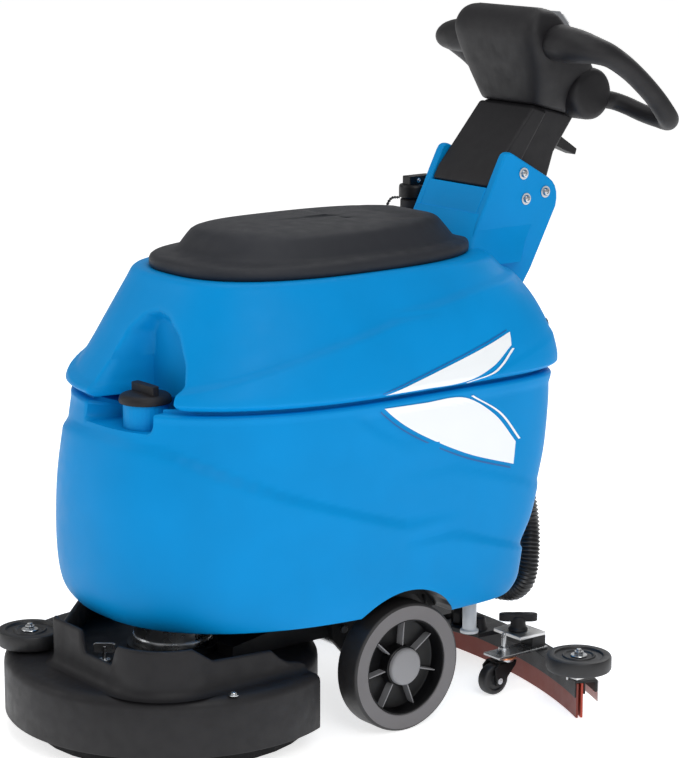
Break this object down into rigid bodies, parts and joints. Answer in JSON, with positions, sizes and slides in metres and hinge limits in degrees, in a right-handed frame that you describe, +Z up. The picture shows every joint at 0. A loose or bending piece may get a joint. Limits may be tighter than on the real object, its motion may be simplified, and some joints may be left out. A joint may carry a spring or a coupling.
{
  "type": "floor scrubber",
  "caption": "Walk-behind wet and dry floor scrubber with stacked tanks, a domed lid, a round brush deck, a curved squeegee and a steering head with looped handles.",
  "frame": {"origin": "on the floor under the middle of the whole machine", "axes": "+Z up, -Y the front with the brush deck, +X the machine's left side"},
  "size_m": [0.87, 1.1171, 1.064],
  "materials": {
    "tank_blue": "moulded, lightly glossy",
    "black_plastic": "moulded, fine grain",
    "dark_steel": "black powder coat",
    "bright_steel": "zinc plated",
    "aluminium": "plain",
    "tyre_grey": "moulded rubber",
    "hub_grey": "satin",
    "red_rubber": "smooth",
    "black_rubber": "matte",
    "bristle": "nylon",
    "button_green": "smooth"
  },
  "bodies": {
    "chassis": {"chassis_frame": "dark_steel", "solution_tank": "tank_blue", "filler_neck": "tank_blue", "battery_left": "black_plastic", "battery_right": "black_plastic", "vacuum_motor": "dark_steel", "axle": "bright_steel", "deck_pivot_pin": "bright_steel", "squeegee_pivot_pin": "bright_steel", "hose_coupling": "black_plastic", "tank_hinge_low": "dark_steel", "vacuum_hose_high": "black_rubber"},
    "filler_cap": {"filler_cap": "black_plastic"},
    "wheel_left": {"wheel_tyre_left": "tyre_grey", "wheel_rim_left": "black_plastic", "wheel_cap_left": "hub_grey"},
    "wheel_right": {"wheel_tyre_right": "tyre_grey", "wheel_rim_right": "black_plastic", "wheel_cap_right": "hub_grey"},
    "deck": {"deck_housing": "black_plastic", "deck_arm": "dark_steel", "brush_gearbox": "dark_steel", "brush_motor": "bright_steel"},
    "wing_bolt": {"deck_wing_bolt": "bright_steel"},
    "bumper_roller": {"bumper_roller": "black_rubber"},
    "brush": {"brush_block": "black_plastic", "brush_bristles": "bristle"},
    "squeegee": {"squeegee_body": "dark_steel", "front_blade": "red_rubber", "rear_blade": "red_rubber", "blade_strap": "aluminium", "squeegee_arm": "dark_steel", "suction_spigot": "black_plastic", "stop_post": "bright_steel", "vacuum_hose_low": "black_rubber"},
    "squeegee_knob_left": {"squeegee_knob_left": "black_plastic"},
    "squeegee_knob_right": {"squeegee_knob_right": "black_plastic"},
    "angle_knob": {"angle_knob": "black_plastic"},
    "end_roller_left": {"end_roller_left": "black_rubber"},
    "end_roller_right": {"end_roller_right": "black_rubber"},
    "caster_left": {"caster_fork_left": "bright_steel"},
    "caster_right": {"caster_fork_right": "bright_steel"},
    "caster_wheel_left": {"caster_wheel_left": "black_rubber"},
    "caster_wheel_right": {"caster_wheel_right": "black_rubber"},
    "recovery_tank": {"recovery_tank": "tank_blue", "vacuum_inlet": "black_plastic", "float_filter": "hub_grey", "drain_port": "black_plastic", "neck_column": "black_plastic", "console": "black_plastic", "handle_left": "black_plastic", "handle_right": "black_plastic", "control_panel": "hub_grey", "tank_hinge_high": "dark_steel"},
    "lid": {"tank_lid": "black_plastic"},
    "drain_cap": {"drain_cap": "black_plastic"},
    "squeegee_lever": {"squeegee_lever": "black_plastic"},
    "key_switch": {"key_switch": "bright_steel"},
    "brush_button": {"brush_button": "button_green"},
    "vacuum_button": {"vacuum_button": "button_green"}
  },
  "joints": [
    {"name": "filler_cap_lift", "type": "slide", "parent": "chassis", "child": "filler_cap", "axis": [0, 0, 1], "range_m": [0, 0.06]},
    {"name": "wheel_left_spin", "type": "hinge", "parent": "chassis", "child": "wheel_left", "pos_m": [0.231, -0.0455, 0.1], "axis": [1, 0, 0], "continuous": true},
    {"name": "wheel_right_spin", "type": "hinge", "parent": "chassis", "child": "wheel_right", "pos_m": [-0.231, -0.0455, 0.1], "axis": [1, 0, 0], "continuous": true},
    {"name": "deck_lift", "type": "hinge", "parent": "chassis", "child": "deck", "pos_m": [0, -0.0755, 0.137], "axis": [-1, 0, 0], "range_deg": [0, 3.5]},
    {"name": "wing_bolt_turn", "type": "hinge", "parent": "deck", "child": "wing_bolt", "pos_m": [0.012, -0.4175, 0.1203], "axis": [0, 0, 1], "continuous": true},
    {"name": "bumper_roller_spin", "type": "hinge", "parent": "deck", "child": "bumper_roller", "pos_m": [-0.131, -0.4755, 0.123], "axis": [0, 0, 1], "continuous": true},
    {"name": "brush_spin", "type": "hinge", "parent": "deck", "child": "brush", "pos_m": [0, -0.302, 0.05], "axis": [0, 0, 1], "continuous": true},
    {"name": "squeegee_lever_turn", "type": "hinge", "parent": "recovery_tank", "child": "squeegee_lever", "pos_m": [0, 0.4515, 0.845], "axis": [-1, 0, 0], "range_deg": [0, 45]},
    {"name": "squeegee_lift", "type": "hinge", "parent": "chassis", "child": "squeegee", "pos_m": [0, 0.1045, 0.125], "axis": [1, 0, 0], "range_deg": [0, 10], "deforming": ["vacuum_hose_low"]},
    {"name": "angle_knob_turn", "type": "hinge", "parent": "squeegee", "child": "angle_knob", "pos_m": [0.096, 0.2345, 0.0678], "axis": [0, 0, 1], "continuous": true},
    {"name": "squeegee_knob_left_turn", "type": "hinge", "parent": "squeegee", "child": "squeegee_knob_left", "pos_m": [0.182, 0.2425, 0.0863], "axis": [0, 0, 1], "continuous": true},
    {"name": "end_roller_left_spin", "type": "hinge", "parent": "squeegee", "child": "end_roller_left", "pos_m": [0.385, 0.1855, 0.086], "axis": [0, 0, 1], "continuous": true},
    {"name": "caster_left_swivel", "type": "hinge", "parent": "squeegee", "child": "caster_left", "pos_m": [0.205, 0.1925, 0.0597], "axis": [0, 0, 1], "continuous": true},
    {"name": "caster_wheel_left_spin", "type": "hinge", "parent": "caster_left", "child": "caster_wheel_left", "pos_m": [0.205, 0.1705, 0.025], "axis": [1, 0, 0], "continuous": true},
    {"name": "squeegee_knob_right_turn", "type": "hinge", "parent": "squeegee", "child": "squeegee_knob_right", "pos_m": [-0.182, 0.2425, 0.0863], "axis": [0, 0, 1], "continuous": true},
    {"name": "end_roller_right_spin", "type": "hinge", "parent": "squeegee", "child": "end_roller_right", "pos_m": [-0.385, 0.1855, 0.086], "axis": [0, 0, 1], "continuous": true},
    {"name": "caster_right_swivel", "type": "hinge", "parent": "squeegee", "child": "caster_right", "pos_m": [-0.205, 0.1925, 0.0597], "axis": [0, 0, 1], "continuous": true},
    {"name": "caster_wheel_right_spin", "type": "hinge", "parent": "caster_right", "child": "caster_wheel_right", "pos_m": [-0.205, 0.1705, 0.025], "axis": [1, 0, 0], "continuous": true},
    {"name": "tank_tilt", "type": "hinge", "parent": "chassis", "child": "recovery_tank", "pos_m": [0, 0.2995, 0.52], "axis": [-1, 0, 0], "range_deg": [0, 60], "deforming": ["vacuum_hose_high"]},
    {"name": "lid_open", "type": "hinge", "parent": "recovery_tank", "child": "lid", "pos_m": [0, 0.211, 0.7035], "axis": [-1, 0, 0], "range_deg": [0, 70]},
    {"name": "drain_cap_open", "type": "hinge", "parent": "recovery_tank", "child": "drain_cap", "pos_m": [-0.125, 0.2995, 0.75], "axis": [-1, 0, 0], "range_deg": [0, 100]},
    {"name": "key_turn", "type": "hinge", "parent": "recovery_tank", "child": "key_switch", "pos_m": [0.048, 0.42634, 1.02659], "axis": [0, 0.7433, 0.669], "range_deg": [0, 90]},
    {"name": "brush_button_press", "type": "slide", "parent": "recovery_tank", "child": "brush_button", "axis": [0, -0.7433, -0.669], "range_m": [0, 0.003], "stiffness_N_per_m": 300},
    {"name": "vacuum_button_press", "type": "slide", "parent": "recovery_tank", "child": "vacuum_button", "axis": [0, -0.7433, -0.669], "range_m": [0, 0.003], "stiffness_N_per_m": 300}
  ],
  "couplings": [
    {"joint": "squeegee_lift", "follows": "squeegee_lever_turn", "ratio": 0.2222}
  ]
}
